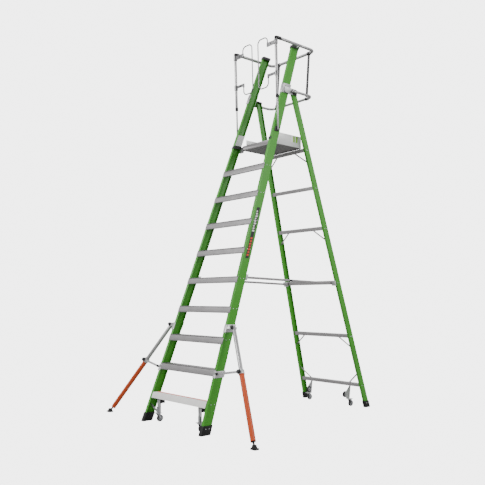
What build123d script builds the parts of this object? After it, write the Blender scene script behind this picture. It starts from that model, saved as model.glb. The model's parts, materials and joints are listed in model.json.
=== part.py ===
"""Fibreglass podium ladder with a guard-rail cage, gates, outriggers and casters.

Millimetres, +Z up, origin on the floor in the middle of the footprint. The climbing side faces -Y.
"""
from build123d import *
import os
from math import atan, cos, sin

os.makedirs("parts", exist_ok=True)

# ---------------------------------------------------------------- driving dimensions
RISE = 304.8                 # from one tread's top to the next
TREADS = 9                   # treads below the platform, the lowest one a sprung cue tread
DECK_TOP = RISE * (TREADS + 1)
SPAN = 2475.0                # between the front faces of the front and rear rails, on the floor
RUN = 0.1                    # radial clearance of a pin in its hole
FIT = 0.3                    # clearance of a piece slipped into another

FRONT_FOOT_HALF = 518.0      # from the middle to the front rails' outer webs, on the floor
FRONT_TAPER = 0.0638         # how far each front rail comes in per unit of height
FRONT_LEAN = 0.3608          # how far the front rails go back per unit of height
FRONT_DEPTH = 102.0
FRONT_FLANGE = 36.0
FRONT_WALL = 5.0
FRONT_TOP = DECK_TOP + 1092.0

REAR_FOOT_HALF = 511.0
REAR_TAPER = 0.0598
REAR_DEPTH = 73.0
REAR_FLANGE = 28.0
REAR_WALL = 4.0

BOOT_WALL = 5.0
BOOT_SOLE = 12.0
FRONT_BOOT_HEIGHT = 92.0
REAR_BOOT_HEIGHT = 78.0
CAP_WALL = 4.0
CAP_GRIP = 24.0              # how far a top cap reaches down its rail
CAP_CROWN = 14.0
CAP_ROUND = 10.0

TREAD_SKIN = 3.0             # wall of the tread extrusion
TREAD_NOSE = 66.0            # height of the tread's front face
TREAD_REAR_LIP = 28.0
NOSING = 7.0                 # how far the top lip stands in front of the rails
CUE_TRAVEL = 5.0             # how far the cue tread gives under a foot

DECK_DEEP = 440.0            # platform, front to back
DECK_HALF = 252.0
DECK_THICK = 50.0
DECK_WALL = 5.0
PLATFORM_LUG_GAP = 10.0      # between the platform's side and its lug
TOE_TOP = DECK_TOP + 82.0
TOE_WALL = 5.0

EAR_CLEAR = 12.9144          # ears' inner faces, outside the front rails' webs at the hinge
EAR_WALL = 8.0
HINGE_PIN = 6.0
RAIL_PIN = 4.0

CAGE_CLEAR = 46.9144         # guard rails' and posts' centres, outside the webs at the hinge
TOP_RAIL_R = 16.0
MID_RAIL_R = 14.0
TOP_RAIL_AHEAD = 388.0       # guard rails' ends, ahead of and behind their pivots
TOP_RAIL_BEHIND = 230.0
MID_RAIL_AHEAD = 25.0
MID_RAIL_BEHIND = 307.0
GUARD_BEND = 70.0
TUBE_WALL = 2.5

POST_R = 15.0
POST_BORE = 11.5
POST_TUBE_END = 640.0        # along the post, from its top pivot
SLIDER_R = 10.0
SLIDER_START = 560.0
GATE_AXIS = 205.0            # gate pivots, from the middle
GATE_REACH = 50.0            # gates' free edges, from the middle
GATE_WIRE_R = 6.5
GATE_TOP = 40.0              # above the post's top pivot, along the post
GATE_BOTTOM = -500.0
GATE_STUBS = (-60.0, -400.0)

STRUT_HALF = 245.0
STRUT_WIDTH = 32.0
STRUT_THICK = 8.0
STRUT_EYE = 34.0             # lower eye, above the middle guard rail's centre

SPREADER_JOINT = 0.5095      # where the knuckle lies along the open spreader
SPREADER_BAR = 25.0
SPREADER_THICK = 5.0
FRONT_LINK_IN = 374.0
REAR_LINK_IN = 366.0

LEG_OUT = 76.438             # outrigger's upper pivot, outside the front rails' webs
BRACE_OUT = 23.728           # brace's pivot, outside the front rails' webs
LEG_FOOT = 1235.0            # outrigger's foot, from the middle
LEG_SET_BACK = 26.0          # outrigger's axis, behind the front rails' faces
LEG_JOINT = 0.38             # where the outer tube starts along the outrigger
LEG_OVERLAP = 250.0
LEG_TUBE_R = 20.0
LEG_R = 25.0
COLLAR_WALL = 7.0
UPPER_COLLAR = (RISE * 3 + 50.6, RISE * 3 + 125.6)
LOWER_COLLAR = (RISE * 2 - 79.6, RISE * 2 - 14.6)

CASTER_WHEEL_R = 37.5
CASTER_WHEEL_WIDTH = 24.0
CASTER_LIFT = 1.5            # the rubber boots carry the ladder, not the wheels
CASTER_TRAIL = 22.0
CASTER_PLATE_Z = 92.0
CASTER_PLATE = 60.0
CASTER_PLATE_WALL = 5.0
FRONT_CASTER = (360.0, 104.0)
REAR_CASTER = (335.0, SPAN - 90.0)
UPPER_WHEEL = (SPAN - 125.0, 146.0)
UPPER_WHEEL_PLATE = 309.0    # inner face of the plate that carries an upper wheel

REAR_BAR_STEPS = (0.8661, 2.8018, 4.8556, 6.8963, 8.376, 9.7441)
REAR_BARS = [RISE * step for step in REAR_BAR_STEPS]
KNEED_BARS = [REAR_BARS[i] for i in (0, 1, 3, 5)]
BAR_HEIGHT = 42.0
BAR_DEPTH = 25.0
BAR_WALL = 2.5
KNEE_REACH = 150.0
KNEE_WIDTH = 20.0
KNEE_THICK = 5.0

RIVET_R = 6.0
RIVET_HEAD = 2.5

# ---------------------------------------------------------------- derived places
def ahead(height, back):
    """Place beside a front rail: behind its front face at a height, as seen from the feet."""
    return FRONT_LEAN * height + back, height


HINGE = ahead(DECK_TOP + 540.0, FRONT_DEPTH + 73.4496)
MID_PIVOT = ahead(DECK_TOP + 542.0, FRONT_DEPTH + 27.728)
TOP_PIVOT = ahead(DECK_TOP + 1072.0, FRONT_DEPTH / 2 + 0.504)
POST_FOOT = ahead(DECK_TOP + 92.0, FRONT_DEPTH / 2 + 1.088)
PLATFORM_PIVOT = ahead(DECK_TOP - 36.0, FRONT_DEPTH + 11.2704)
SPREADER_FRONT = ahead(RISE * 4.97047, FRONT_DEPTH + 16.388)
DECK_FRONT = ahead(DECK_TOP, FRONT_DEPTH - 11.7184)[0]
DECK_REAR = DECK_FRONT + DECK_DEEP
TOP_RAIL_FRONT = TOP_PIVOT[0] - TOP_RAIL_AHEAD
TOP_RAIL_REAR = TOP_PIVOT[0] + TOP_RAIL_BEHIND
MID_RAIL_FRONT = MID_PIVOT[0] - MID_RAIL_AHEAD
MID_RAIL_REAR = MID_PIVOT[0] + MID_RAIL_BEHIND
HINGE_HALF = FRONT_FOOT_HALF - FRONT_TAPER * HINGE[1]
EAR_IN = HINGE_HALF + EAR_CLEAR
CAGE_HALF = HINGE_HALF + CAGE_CLEAR
REAR_HINGE_BACK = 34.4436    # hinge, behind the rear rails' front faces
REAR_LEAN = (SPAN + REAR_HINGE_BACK - HINGE[0]) / HINGE[1]
REAR_TOP = HINGE[1] + 24.0
SPREADER_REAR = (SPAN - REAR_LEAN * RISE * 4.83924 - 17.6925, RISE * 4.83924)
LEG_TOP_HEIGHT = RISE * 3 + 95.6
BRACE_FOOT_HEIGHT = RISE * 2 - 49.6
LEG_TOP = (FRONT_FOOT_HALF - FRONT_TAPER * LEG_TOP_HEIGHT + LEG_OUT, LEG_TOP_HEIGHT)
BRACE_FOOT = (FRONT_FOOT_HALF - FRONT_TAPER * BRACE_FOOT_HEIGHT + BRACE_OUT, BRACE_FOOT_HEIGHT)
FRONT_Y = -(SPAN + REAR_DEPTH) / 2
REAR_Y = FRONT_Y + SPAN
LEFT, RIGHT = -1, 1
SIDES = {"left": LEFT, "right": RIGHT}


class Rail:
    """A pair of leaning, tapering channel rails whose open sides face each other."""

    def __init__(self, foot_half, taper, face_y, lean, depth, flange, wall):
        self.foot_half = foot_half
        self.taper = taper
        self.face_y = face_y
        self.lean = lean
        self.depth = depth
        self.flange = flange
        self.wall = wall
        self.angle = atan(lean)

    def half(self, z):
        """Distance from the middle to the outer web at a height."""
        return self.foot_half - self.taper * z

    def face(self, z):
        """Y of the front face at a height."""
        return self.face_y + self.lean * z

    def slope(self, side):
        """Direction along one rail."""
        return Vector(-side * self.taper, self.lean, 1)

    def plane(self, back=0.0):
        """Plane of the pair's front faces, or one set back behind them."""
        normal = Vector(0, -cos(self.angle), sin(self.angle))
        return Plane(origin=Vector(0, self.face_y, 0) - normal * back, x_dir=(1, 0, 0), z_dir=normal)

    def along(self, z, back=0.0):
        """Distance up that plane at which it reaches a height."""
        return (z + back * sin(self.angle)) / cos(self.angle)

    def height(self, v, back=0.0):
        """Height reached by a distance up that plane."""
        return v * cos(self.angle) - back * sin(self.angle)


FRONT = Rail(FRONT_FOOT_HALF, FRONT_TAPER, FRONT_Y, FRONT_LEAN, FRONT_DEPTH, FRONT_FLANGE, FRONT_WALL)
REAR = Rail(REAR_FOOT_HALF, REAR_TAPER, REAR_Y, -REAR_LEAN, REAR_DEPTH, REAR_FLANGE, REAR_WALL)


# ---------------------------------------------------------------- small building steps
def save(part, name):
    """Label a finished piece and write it."""
    part.label = name
    export_step(part, f"parts/{name}.step")


def at(x, y, z):
    """A point given by its distance back from the front rails' feet."""
    return Vector(x, FRONT_Y + y, z)


def rail_rect(rail, side, z, inward, back, mode=Mode.ADD):
    """Rectangle measured in from a rail's outer web and back from its front face."""
    x = side * (rail.half(z) - (inward[0] + inward[1]) / 2)
    with Locations((x, rail.face(z) + (back[0] + back[1]) / 2)):
        Rectangle(inward[1] - inward[0], back[1] - back[0], mode=mode)


def lift(outline, rail, side, height, mode=Mode.ADD):
    """Raise an outline along a rail, keeping its level section."""
    slope = rail.slope(side)
    extrude(outline.sketch, amount=height * slope.length, dir=slope, mode=mode)


def clamp(rail, side, low, high, wall):
    """C-shaped clamp round a rail's web and flanges, open towards the middle."""
    with BuildSketch(Plane.XY.offset(low)) as ring:
        rail_rect(rail, side, low, (-wall, rail.flange - 3), (-wall, rail.depth + wall))
        rail_rect(rail, side, low, (-FIT, rail.flange), (-FIT, rail.depth + FIT), Mode.SUBTRACT)
    lift(ring, rail, side, high - low)


def rod(start, end, radius, bore=0.0, mode=Mode.ADD):
    """Round bar, or tube if a bore is given, between two points."""
    with BuildSketch(Plane(origin=start, z_dir=end - start)) as section:
        Circle(radius)
        if bore:
            Circle(bore, mode=Mode.SUBTRACT)
    extrude(section.sketch, amount=(end - start).length, mode=mode)


def pin_x(y, z, x_start, x_end, radius, mode=Mode.ADD):
    """Pin or hole along X, at a place given from the front feet."""
    rod(at(x_start, y, z), at(x_end, y, z), radius, mode=mode)


def block(low, high, mode=Mode.ADD):
    """Upright block between two opposite corners, in any order."""
    size = high - low
    with Locations((low + high) / 2):
        Box(abs(size.X), abs(size.Y), abs(size.Z), mode=mode)


def side_plate(points, x_start, x_end, mode=Mode.ADD):
    """Plate with a (Y, Z) outline, from one X to another."""
    with BuildSketch(Plane.YZ.offset(min(x_start, x_end))) as outline:
        Polygon(*points, align=None)
    extrude(outline.sketch, amount=abs(x_end - x_start), mode=mode)


# ---------------------------------------------------------------- front frame
def make_rail(rail, side, low, high):
    """Pultruded channel rail with rounded outer corners."""
    corner = rail.wall * 0.7
    with BuildPart() as body:
        with BuildSketch(Plane.XY.offset(low)) as outline:
            rail_rect(rail, side, low, (0, rail.flange), (0, rail.depth))
            fillet(outline.vertices().sort_by(Axis.X, reverse=side == RIGHT)[:2], corner)
            hollow = (rail.wall, rail.depth - rail.wall)
            rail_rect(rail, side, low, (rail.wall, rail.flange + 1), hollow, Mode.SUBTRACT)
        lift(outline, rail, side, high - low)
    return body


for name, side in SIDES.items():
    front_rail = make_rail(FRONT, side, BOOT_SOLE, FRONT_TOP)
    save(front_rail.part, f"front_rail_{name}")


def make_tread(top):
    """Ribbed C-section tread whose face lies in line with the front rails."""
    front = FRONT.face(top) + FRONT.wall + FIT * 2
    depth = FRONT.depth - 2 * FRONT.wall - TREAD_REAR_LIP * FRONT.lean - 4 * FIT
    face_low = -TREAD_NOSE * FRONT.lean
    inner_low = face_low + TREAD_SKIN * (1 + FRONT.lean)
    half = FRONT.half(top) - FRONT.wall - FIT
    outline = (
        (0, 0), (depth, 0), (depth, -TREAD_REAR_LIP), (depth - TREAD_SKIN, -TREAD_REAR_LIP),
        (depth - TREAD_SKIN, -TREAD_SKIN), (TREAD_SKIN * (1 - FRONT.lean), -TREAD_SKIN),
        (inner_low, TREAD_SKIN - TREAD_NOSE), (inner_low + 12, TREAD_SKIN - TREAD_NOSE),
        (inner_low + 12, -TREAD_NOSE), (face_low, -TREAD_NOSE),
    )
    groove = 3.0
    pitch = 8.0
    with BuildPart() as tread:
        with BuildSketch(Plane.YZ.offset(-half)):
            with BuildLine():
                Polyline(*[(front + y, top + z) for y, z in outline], close=True)
            make_face()
            with Locations((front + depth / 2, top)):
                with GridLocations(pitch, pitch, int(depth / pitch) - 1, 1):
                    Rectangle(groove, TREAD_SKIN * 0.7, mode=Mode.SUBTRACT)
            drops = [12 + 10 * i for i in range(5)]
            with Locations(*[(front - drop * FRONT.lean, top - drop) for drop in drops]):
                Rectangle(TREAD_SKIN * 0.8, groove, mode=Mode.SUBTRACT)
        extrude(amount=2 * half)
        lip_rear = FRONT.face(top) - TREAD_SKIN * FRONT.lean - FIT
        low = top - TREAD_SKIN
        lip_half = FRONT.half(top)
        block(Vector(-lip_half, lip_rear - NOSING, low), Vector(lip_half, lip_rear, top))
        gap_half = FRONT.half(low) - FRONT.flange - 4 * FIT
        block(Vector(-gap_half, lip_rear - FIT, low), Vector(gap_half, front + TREAD_SKIN / 2, top))
    return tread


with BuildPart() as treads:
    for step in range(2, TREADS + 1):
        add(make_tread(step * RISE).part)
save(treads.part, "treads")

# The bottom step is a fixed carrier. The cue tread sits over it and gives under a foot.
CUE_GAP = CUE_TRAVEL + 3.0
bottom_top = RISE - TREAD_SKIN - CUE_GAP
bottom_half = FRONT.half(bottom_top) - FRONT.wall - FIT
bottom_front = FRONT.face(bottom_top) + FRONT.wall + 12
bottom_rear = bottom_front + 58
bottom_low = RISE - TREAD_NOSE + 2
with BuildPart() as bottom_step:
    block(Vector(-bottom_half, bottom_front, bottom_top - 4), Vector(bottom_half, bottom_rear, bottom_top))
    block(Vector(-bottom_half, bottom_rear - 4, bottom_low), Vector(bottom_half, bottom_rear, bottom_top))
    block(Vector(-bottom_half, bottom_front, bottom_low), Vector(bottom_half, bottom_front + 4, bottom_top))
    block(Vector(-bottom_half, bottom_front, bottom_low), Vector(bottom_half, bottom_rear, bottom_low + 4))
save(bottom_step.part, "bottom_step")

cue_front = FRONT.face(RISE) + FRONT.wall + FIT * 2
cue_rear = bottom_rear + 3
cue_half = FRONT.half(RISE) - FRONT.flange - 3 * FIT
cue_face = RISE - TREAD_NOSE + CUE_TRAVEL + 3
with BuildPart() as cue_tread:
    nose_y = FRONT.face(RISE) - TREAD_SKIN
    with BuildSketch(Plane.YZ.offset(-cue_half)):
        with BuildLine():
            Polyline(
                (nose_y, RISE), (cue_rear, RISE), (cue_rear, RISE - TREAD_REAR_LIP),
                (cue_rear - 2, RISE - TREAD_REAR_LIP), (cue_rear - 2, RISE - TREAD_SKIN),
                (nose_y + TREAD_SKIN, RISE - TREAD_SKIN),
                (nose_y + TREAD_SKIN + (cue_face - RISE) * FRONT.lean, cue_face),
                (nose_y + (cue_face - RISE) * FRONT.lean, cue_face), close=True)
        make_face()
    extrude(amount=2 * cue_half)
save(cue_tread.part, "cue_tread")


def make_boot(rail, side, height):
    """Rubber boot with a sole, slipped over a rail's foot."""
    with BuildPart() as boot:
        with BuildSketch(Plane.XY) as outside:
            wide, deep = rail.flange + BOOT_WALL, rail.depth + BOOT_WALL
            rail_rect(rail, side, 0, (-BOOT_WALL, wide), (-BOOT_WALL, deep))
        lift(outside, rail, side, height)
        with BuildSketch(Plane.XY.offset(BOOT_SOLE)) as socket:
            rail_rect(rail, side, BOOT_SOLE, (-FIT, rail.flange + FIT), (-FIT, rail.depth + FIT))
        lift(socket, rail, side, height, Mode.SUBTRACT)
    return boot


def make_pair(maker):
    """A left and a right solid in one piece."""
    with BuildPart() as pair:
        for side in (LEFT, RIGHT):
            add(maker(side).part)
    return pair


front_boots = make_pair(lambda side: make_boot(FRONT, side, FRONT_BOOT_HEIGHT))
save(front_boots.part, "front_boots")


def make_cap(rail, side, low, top, high, rounding):
    """Moulded cap closed over a rail's top end."""
    with BuildPart() as cap:
        with BuildSketch(Plane.XY.offset(low)) as outside:
            wide, deep = rail.flange + CAP_WALL, rail.depth + CAP_WALL
            rail_rect(rail, side, low, (-CAP_WALL, wide), (-CAP_WALL, deep))
        lift(outside, rail, side, high - low)
        fillet(cap.faces().sort_by(Axis.Z)[-1].edges(), rounding)
        with BuildSketch(Plane.XY.offset(low)) as socket:
            rail_rect(rail, side, low, (-FIT, rail.flange + FIT), (-FIT, rail.depth + FIT))
        lift(socket, rail, side, top - low, Mode.SUBTRACT)
    return cap


rail_top_caps = make_pair(
    lambda side: make_cap(FRONT, side, FRONT_TOP - CAP_GRIP, FRONT_TOP, FRONT_TOP + CAP_CROWN, CAP_ROUND))
save(rail_top_caps.part, "rail_top_caps")


def make_hinge_casting(side):
    """Casting round a front rail, with the ear that carries the rear frame's hinge."""
    hinge_y, hinge_z = HINGE
    low, high = hinge_z - 24, hinge_z + 86
    ear_low, ear_high = hinge_z - 32, hinge_z + 44
    web_front, web_rear = hinge_y - 145, hinge_y - 85
    ear_front = hinge_y - 152
    with BuildPart() as casting:
        clamp(FRONT, side, low, high, COLLAR_WALL)
        rear = hinge_y + 34
        outline = [(ear_front, ear_low + 16), (hinge_y - 70, ear_low), (rear, ear_low + 8), (rear, ear_high - 22),
                   (rear - 16, ear_high - 6), (ear_front, ear_high)]
        ear = [(FRONT_Y + y, z) for y, z in outline]
        side_plate(ear, side * EAR_IN, side * (EAR_IN + EAR_WALL))
        web_x = FRONT.half(low + 16) + FIT + 2
        block(at(side * web_x, web_front, low + 16), at(side * (EAR_IN + 1), web_rear, high - 50))
    return casting


hinge_castings = make_pair(make_hinge_casting)
save(hinge_castings.part, "hinge_castings")


def make_pivot_pins(side):
    """Pins of the rear frame, the middle guard rail and the top guard rail on one side."""
    ear_out = EAR_IN + EAR_WALL
    with BuildPart() as pins:
        pin_x(*HINGE, side * (REAR.half(HINGE[1]) - 9), side * EAR_IN, HINGE_PIN)
        pin_x(*HINGE, side * ear_out, side * (ear_out + 5), HINGE_PIN * 1.6)
        pin_x(*MID_PIVOT, side * ear_out, side * (CAGE_HALF - MID_RAIL_R - FIT), RAIL_PIN * 2.2)
        pin_x(*MID_PIVOT, side * ear_out, side * (CAGE_HALF + MID_RAIL_R), RAIL_PIN)
        cap_x = FRONT.half(TOP_PIVOT[1] - 9) + CAP_WALL + FIT / 2
        pin_x(*TOP_PIVOT, side * cap_x, side * (CAGE_HALF - TOP_RAIL_R - FIT), RAIL_PIN * 2.2)
        pin_x(*TOP_PIVOT, side * cap_x, side * (CAGE_HALF + TOP_RAIL_R), RAIL_PIN)
    return pins


pivot_pins = make_pair(make_pivot_pins)
save(pivot_pins.part, "pivot_pins")


def rail_block(rail, side, low, high, reach, x_in, x_out):
    """Lug on the inner face of a rail pair: behind a front rail, ahead of a rear rail."""
    base = rail.depth if rail.lean > 0 else 0.0
    near = [(rail.face(z) + base + (FIT / 3 if reach > 0 else -FIT / 3), z) for z in (low, high)]
    far = [(y + reach, z) for y, z in reversed(near)]
    side_plate(near + far, side * x_in, side * x_out)


def make_frame_brackets(side):
    """Lugs behind a front rail, for the platform's pivot and for the spreader."""
    with BuildPart() as brackets:
        px, pz = PLATFORM_PIVOT
        gap = DECK_HALF + PLATFORM_LUG_GAP
        rail_block(FRONT, side, pz - 34, pz + 30, 36, gap, FRONT.half(pz) - 8)
        pin_x(px, pz, side * (DECK_HALF - 16), side * (gap + 1), HINGE_PIN)
        sy, sz = SPREADER_FRONT
        link_out = FRONT_LINK_IN + SPREADER_THICK + FIT
        rail_block(FRONT, side, sz - 30, sz + 30, 32, link_out, FRONT.half(sz) - 8)
        pin_x(sy, sz, side * (FRONT_LINK_IN - 1), side * (link_out + 1), 5)
    return brackets


frame_brackets = make_pair(make_frame_brackets)
save(frame_brackets.part, "frame_brackets")


def make_collars(side):
    """The two clamps that carry an outrigger's leg and its brace."""
    rail_plane = FRONT.plane(LEG_SET_BACK)
    lug_gap = LEG_TUBE_R + FIT
    with BuildPart() as collars:
        clamp(FRONT, side, *UPPER_COLLAR, COLLAR_WALL)
        clamp(FRONT, side, *LOWER_COLLAR, COLLAR_WALL)
        v_top = FRONT.along(LEG_TOP[1], LEG_SET_BACK)
        root_x = FRONT.half(LEG_TOP[1]) + COLLAR_WALL / 2 + 1.5
        for shift in (lug_gap, -lug_gap - 5):
            with BuildSketch(rail_plane.offset(shift)) as lug:
                with Locations((side * (root_x + LEG_TOP[0]) / 2, v_top)):
                    Rectangle(LEG_TOP[0] - root_x, 36)
                with Locations((side * LEG_TOP[0], v_top)):
                    Circle(18)
            extrude(lug.sketch, amount=5)
        with BuildSketch(rail_plane.offset(-lug_gap - 1)) as pin:
            with Locations((side * LEG_TOP[0], v_top)):
                Circle(RAIL_PIN)
        extrude(pin.sketch, amount=2 * lug_gap + 2)
        v_low = FRONT.along(BRACE_FOOT[1], LEG_SET_BACK)
        foot_x = FRONT.half(BRACE_FOOT[1]) + COLLAR_WALL / 2 + 1.5
        with BuildSketch(rail_plane.offset(LEG_R - 6)) as tab:
            with Locations((side * (foot_x + BRACE_FOOT[0]) / 2, v_low)):
                Rectangle(BRACE_FOOT[0] - foot_x, 24)
            with Locations((side * BRACE_FOOT[0], v_low)):
                Circle(12)
        extrude(tab.sketch, amount=6)
        with BuildSketch(rail_plane.offset(LEG_R - 1)) as stud:
            with Locations((side * BRACE_FOOT[0], v_low)):
                Circle(RAIL_PIN)
        extrude(stud.sketch, amount=8)
    return collars


outrigger_collars = make_pair(make_collars)
save(outrigger_collars.part, "outrigger_collars")


def make_post_foot_bracket(side):
    """Bracket on a front rail's web that the sliding post ends against."""
    y, z = POST_FOOT
    with BuildPart() as bracket:
        low, high = z - 30, z + 26
        with BuildSketch(Plane.XY.offset(low)) as plate:
            rail_rect(FRONT, side, low, (-6, -FIT / 2), (20, 82))
        lift(plate, FRONT, side, high - low)
        pin_x(y, z, side * (FRONT.half(z) + 3), side * (CAGE_HALF - SLIDER_R - 2 * FIT), 11)
    return bracket


post_foot_brackets = make_pair(make_post_foot_bracket)
save(post_foot_brackets.part, "post_foot_brackets")


def make_front_caster_brace(side):
    """Carrier of a front caster, from the rail's web and the bottom step down to the caster's plate."""
    x, y = FRONT_CASTER
    low = CASTER_PLATE_Z
    top = low + CASTER_PLATE_WALL
    arm_low, arm_high = 158.0, 176.0
    web = FRONT_WALL + FIT / 2
    with BuildPart() as brace:
        half = CASTER_PLATE / 2
        block(at(side * (x - half), y - half, low), at(side * (x + half), y + half, top))
        arm = [(x + 6, top - 1), (x + 28, top - 1), (FRONT.half(arm_low) - web, arm_low),
               (FRONT.half(arm_high) - web, arm_high)]
        strut = [(x - 28, top - 1), (x - 10, top - 1), (x - 10, bottom_low), (x - 28, bottom_low)]
        for outline in (arm, strut):
            front = Plane(origin=at(0, y + 18, 0), x_dir=(1, 0, 0), z_dir=(0, -1, 0))
            with BuildSketch(front) as web_shape:
                Polygon(*[(side * px, pz) for px, pz in outline], align=None)
            extrude(web_shape.sketch, amount=16)
    return brace


front_caster_braces = make_pair(make_front_caster_brace)
save(front_caster_braces.part, "front_caster_braces")


def rivets(rail, side, heights, backs):
    """Round heads on a rail's outer web."""
    normal = Vector(side, 0, rail.taper).normalized()
    for z in heights:
        for back in backs:
            seat = Vector(side * rail.half(z), rail.face(z) + back, z)
            rod(seat, seat + normal * RIVET_HEAD, RIVET_R)


front_middle = (FRONT_DEPTH * 0.3, FRONT_DEPTH * 0.72)
tread_heights = [step * RISE - 24 for step in range(1, TREADS + 1)]
tread_heights = [z for z in tread_heights if not LOWER_COLLAR[0] - 10 < z < LOWER_COLLAR[1] + 10]


def make_front_rivets(side):
    """Rivets that hold the treads."""
    with BuildPart() as heads:
        rivets(FRONT, side, tread_heights, front_middle)
    return heads


front_rivets = make_pair(make_front_rivets)
save(front_rivets.part, "front_rivets")

# ---------------------------------------------------------------- rear frame
for name, side in SIDES.items():
    rear_rail = make_rail(REAR, side, BOOT_SOLE, REAR_TOP)
    with BuildPart() as drilled:
        add(rear_rail.part)
        pin_x(*HINGE, side * (REAR.half(HINGE[1]) - 10), side * EAR_IN, HINGE_PIN + RUN, Mode.SUBTRACT)
    save(drilled.part, f"rear_rail_{name}")

BAR_BACK = REAR_WALL + 2
bar_plane = REAR.plane(BAR_BACK)


def rear_inner(v):
    """Inner face of a rear rail's web, from the middle, at a distance up the bars' plane."""
    return REAR.half(REAR.height(v, BAR_BACK + BAR_DEPTH)) - REAR_WALL - FIT


def rear_along(z):
    """Distance up the rear rails' plane at the bars' middle height."""
    return z / cos(REAR.angle)


with BuildPart() as rear_braces:
    for height in REAR_BARS:
        v = rear_along(height)
        low, high = v - BAR_HEIGHT / 2, v + BAR_HEIGHT / 2
        with BuildSketch(bar_plane) as bar:
            Polygon((-rear_inner(low), low), (rear_inner(low), low), (rear_inner(high), high),
                    (-rear_inner(high), high), align=None)
        extrude(bar.sketch, amount=-BAR_DEPTH)
        with BuildSketch(bar_plane.offset(-BAR_WALL)) as hollow:
            with Locations((0, v)):
                Rectangle(3 * REAR_FOOT_HALF, BAR_HEIGHT - 2 * BAR_WALL)
        extrude(hollow.sketch, amount=2 * BAR_WALL - BAR_DEPTH, mode=Mode.SUBTRACT)
        if height in KNEED_BARS:
            for side in (LEFT, RIGHT):
                turn = -1 if height > KNEE_REACH * 2 else 1
                edge = v + turn * BAR_HEIGHT / 2
                tip = edge + turn * KNEE_REACH
                inner = rear_inner(edge) - KNEE_REACH * 1.25
                foot = tip - turn * KNEE_WIDTH
                outline = [(inner, edge), (inner + KNEE_WIDTH * 1.3, edge), (rear_inner(foot), foot),
                           (rear_inner(tip), tip)]
                with BuildSketch(bar_plane.offset(-BAR_DEPTH / 2)) as knee:
                    Polygon(*[(side * px, pv) for px, pv in outline], align=None)
                extrude(knee.sketch, amount=-KNEE_THICK)
save(rear_braces.part, "rear_braces")

rear_boots = make_pair(lambda side: make_boot(REAR, side, REAR_BOOT_HEIGHT))
save(rear_boots.part, "rear_boots")
rear_top_caps = make_pair(lambda side: make_cap(REAR, side, HINGE[1] + 16, REAR_TOP, REAR_TOP + 10, 5))
save(rear_top_caps.part, "rear_top_caps")


def make_rear_brackets(side):
    """Caster carrier under the lowest bar, upper wheel's axle, and the spreader's lug."""
    x, y = REAR_CASTER
    wheel_y, wheel_z = UPPER_WHEEL
    half = CASTER_PLATE / 2
    top = CASTER_PLATE_Z + CASTER_PLATE_WALL
    plate_x = UPPER_WHEEL_PLATE
    with BuildPart() as brackets:
        block(at(side * (x - half), y - half, CASTER_PLATE_Z), at(side * (x + half), y + half, top))
        low = rear_along(REAR_BARS[0]) - BAR_HEIGHT / 2
        under = [bar_plane.from_local_coords((0, low - FIT / 3, -back)) for back in (BAR_DEPTH, 0)]
        outline = [(p.Y, p.Z) for p in under]
        outline += [(FRONT_Y + wheel_y - 16, wheel_z + 20), (FRONT_Y + wheel_y - 16, wheel_z - 14),
                    (FRONT_Y + y - half, top - 1), (FRONT_Y + y + half, top - 1)]
        side_plate(outline, side * plate_x, side * (plate_x + 5))
        pin_x(wheel_y, wheel_z, side * (plate_x - 31), side * (plate_x + 1), 5)
        sy, sz = SPREADER_REAR
        link_out = REAR_LINK_IN + SPREADER_THICK + FIT
        rail_block(REAR, side, sz - 28, sz + 28, -32, link_out, REAR.half(sz) - 6)
        pin_x(sy, sz, side * (REAR_LINK_IN - 1), side * (link_out + 1), 5)
    return brackets


rear_brackets = make_pair(make_rear_brackets)
save(rear_brackets.part, "rear_brackets")


def make_rear_rivets(side):
    """Rivets that hold the rear bars."""
    with BuildPart() as heads:
        rivets(REAR, side, REAR_BARS, (REAR_DEPTH * 0.3, REAR_DEPTH * 0.6))
    return heads


rear_rivets = make_pair(make_rear_rivets)
save(rear_rivets.part, "rear_rivets")

# ---------------------------------------------------------------- platform
with BuildPart() as platform_deck:
    deck_low = DECK_TOP - DECK_THICK
    block(at(-DECK_HALF, DECK_FRONT, deck_low), at(DECK_HALF, DECK_REAR, DECK_TOP))
    inner_half = DECK_HALF - DECK_WALL
    block(at(-inner_half, DECK_FRONT + DECK_WALL, deck_low),
          at(inner_half, DECK_REAR - DECK_WALL, DECK_TOP - DECK_WALL), Mode.SUBTRACT)
    rib = 4.0
    rib_pitch = 14.0
    deck_middle = Plane(origin=at(0, (DECK_FRONT + DECK_REAR) / 2, DECK_TOP))
    with BuildSketch(deck_middle) as grooves:
        with GridLocations(1, rib_pitch, 1, int((DECK_REAR - DECK_FRONT) / rib_pitch) - 1):
            Rectangle(2 * DECK_HALF + 2, rib)
    extrude(grooves.sketch, amount=-1.5, mode=Mode.SUBTRACT)
    for side in (LEFT, RIGHT):
        boss = (side * (DECK_HALF - 15), side * (DECK_HALF - 1))
        pin_x(*PLATFORM_PIVOT, *boss, HINGE_PIN + 5)
        pin_x(*PLATFORM_PIVOT, side * (DECK_HALF - 17), side * (DECK_HALF + 1), HINGE_PIN + RUN, Mode.SUBTRACT)
save(platform_deck.part, "platform_deck")

for name, side in SIDES.items():
    with BuildPart() as toe_board:
        toe_low = deck_low + 4
        toe_out = DECK_HALF + TOE_WALL
        block(at(side * DECK_HALF, DECK_FRONT + 60, toe_low), at(side * toe_out, DECK_REAR - 6, TOE_TOP))
        fillet(toe_board.edges().filter_by(Axis.Y).sort_by(Axis.Z)[-2:], 1.5)
    save(toe_board.part, f"toe_board_{name}")
with BuildPart() as toe_board_rear:
    block(at(-DECK_HALF + 1, DECK_REAR - TOE_WALL, DECK_TOP), at(DECK_HALF - 1, DECK_REAR, TOE_TOP - 6))
    fillet(toe_board_rear.edges().filter_by(Axis.X).sort_by(Axis.Z)[-2:], 1.5)
save(toe_board_rear.part, "toe_board_rear")

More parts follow.
